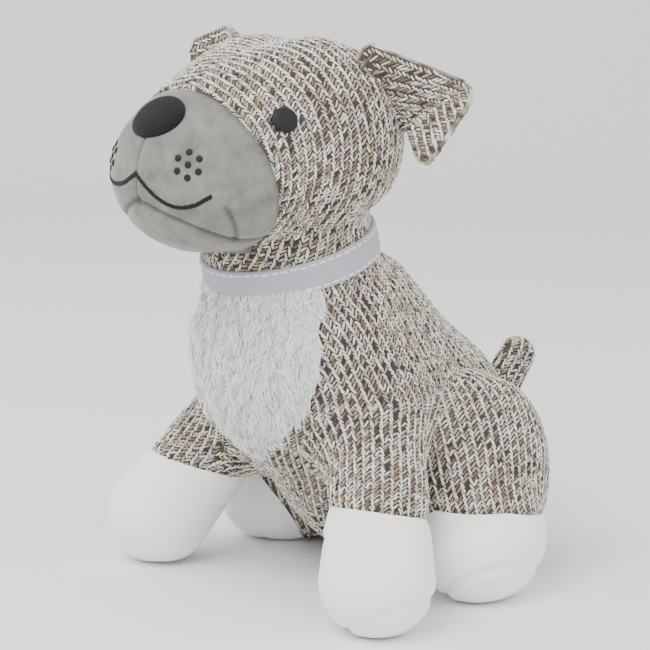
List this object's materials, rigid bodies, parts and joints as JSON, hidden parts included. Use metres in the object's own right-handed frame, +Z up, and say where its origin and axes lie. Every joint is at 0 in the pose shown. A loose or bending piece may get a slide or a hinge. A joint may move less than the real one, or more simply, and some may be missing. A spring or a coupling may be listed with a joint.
{
  "type": "plush dog",
  "caption": "Sitting stuffed puppy toy with tweed cover, folded ears, suede-like muzzle, ribbon collar, furry chest bib, white paws and soft sewn joints.",
  "frame": {"origin": "on the floor, midway between the toy's sides and midway between the front of the muzzle and the end of the tail", "axes": "+Z up, -Y the way the dog looks, +X its left side"},
  "size_m": [0.219, 0.274, 0.28],
  "materials": {
    "tweed": "coarse knitted tweed",
    "white_fur": "long soft pile",
    "white_plush": "short velour pile",
    "grey_suede": "short brushed pile",
    "black_felt": "pressed felt",
    "black_thread": "satin stitch",
    "grey_ribbon": "grosgrain with white running stitch",
    "stuffing": "loose polyester fibre",
    "pellet_cloth": "plain weave bag of pellets"
  },
  "bodies": {
    "torso": {"torso_cover_left": "tweed", "torso_cover_right": "tweed", "seat_panel": "tweed", "chest_bib": "white_fur", "torso_stuffing": "stuffing", "pellet_bag": "pellet_cloth", "collar_ribbon": "grey_ribbon", "collar_end": "grey_ribbon"},
    "neck": {"neck_cover": "tweed", "neck_stuffing": "stuffing"},
    "head": {"head_cover_left": "tweed", "head_cover_right": "tweed", "muzzle_panel_left": "grey_suede", "muzzle_panel_right": "grey_suede", "chin_panel": "grey_suede", "head_stuffing": "stuffing", "nose": "black_felt", "eye_left": "black_thread", "eye_right": "black_thread", "whisker_dots_left": "black_thread", "whisker_dots_right": "black_thread", "mouth_stitching": "black_thread"},
    "ear_left": {"ear_front_left": "tweed", "ear_back_left": "tweed"},
    "ear_right": {"ear_front_right": "tweed", "ear_back_right": "tweed"},
    "foreleg_left": {"foreleg_cover_left": "tweed", "forepaw_left": "white_plush", "forepaw_sole_left": "white_plush", "foreleg_stuffing_left": "stuffing"},
    "foreleg_right": {"foreleg_cover_right": "tweed", "forepaw_right": "white_plush", "forepaw_sole_right": "white_plush", "foreleg_stuffing_right": "stuffing"},
    "hindleg_left": {"haunch_cover_left": "tweed", "hindpaw_left": "white_plush", "hindpaw_sole_left": "white_plush", "hindleg_stuffing_left": "stuffing"},
    "hindleg_right": {"haunch_cover_right": "tweed", "hindpaw_right": "white_plush", "hindpaw_sole_right": "white_plush", "hindleg_stuffing_right": "stuffing"},
    "tail": {"tail_cover": "tweed", "tail_stuffing": "stuffing"}
  },
  "joints": [
    {"name": "neck_turn", "type": "hinge", "parent": "torso", "child": "neck", "pos_m": [0, -0.04075, 0.172], "axis": [0, -0.2756, 0.9613], "range_deg": [-20, 20], "stiffness_Nm_per_rad": 1.2},
    {"name": "head_nod", "type": "hinge", "parent": "neck", "child": "head", "pos_m": [0, -0.04075, 0.172], "axis": [1, 0, 0], "range_deg": [-8, 8], "stiffness_Nm_per_rad": 2.5},
    {"name": "ear_lift_left", "type": "hinge", "parent": "head", "child": "ear_left", "pos_m": [0.042, -0.03675, 0.267], "axis": [0.1597, 0.5476, -0.8214], "range_deg": [-12, 12], "stiffness_Nm_per_rad": 0.05},
    {"name": "ear_lift_right", "type": "hinge", "parent": "head", "child": "ear_right", "pos_m": [-0.042, -0.03675, 0.267], "axis": [-0.1597, 0.5476, -0.8214], "range_deg": [-12, 12], "stiffness_Nm_per_rad": 0.05},
    {"name": "foreleg_swing_left", "type": "hinge", "parent": "torso", "child": "foreleg_left", "pos_m": [0.038, -0.02675, 0.098], "axis": [1, 0, 0], "range_deg": [-10, 10], "stiffness_Nm_per_rad": 0.8},
    {"name": "foreleg_swing_right", "type": "hinge", "parent": "torso", "child": "foreleg_right", "pos_m": [-0.038, -0.02675, 0.098], "axis": [1, 0, 0], "range_deg": [-10, 10], "stiffness_Nm_per_rad": 0.8},
    {"name": "hindleg_swing_left", "type": "hinge", "parent": "torso", "child": "hindleg_left", "pos_m": [0.046, 0.03525, 0.05], "axis": [1, 0, 0], "range_deg": [-14, 5], "stiffness_Nm_per_rad": 0.8},
    {"name": "hindleg_swing_right", "type": "hinge", "parent": "torso", "child": "hindleg_right", "pos_m": [-0.046, 0.03525, 0.05], "axis": [1, 0, 0], "range_deg": [-14, 5], "stiffness_Nm_per_rad": 0.8},
    {"name": "tail_wag", "type": "hinge", "parent": "torso", "child": "tail", "pos_m": [0, 0.09525, 0.06], "axis": [0, 0.7649, -0.6441], "range_deg": [-20, 20], "stiffness_Nm_per_rad": 0.05}
  ]
}
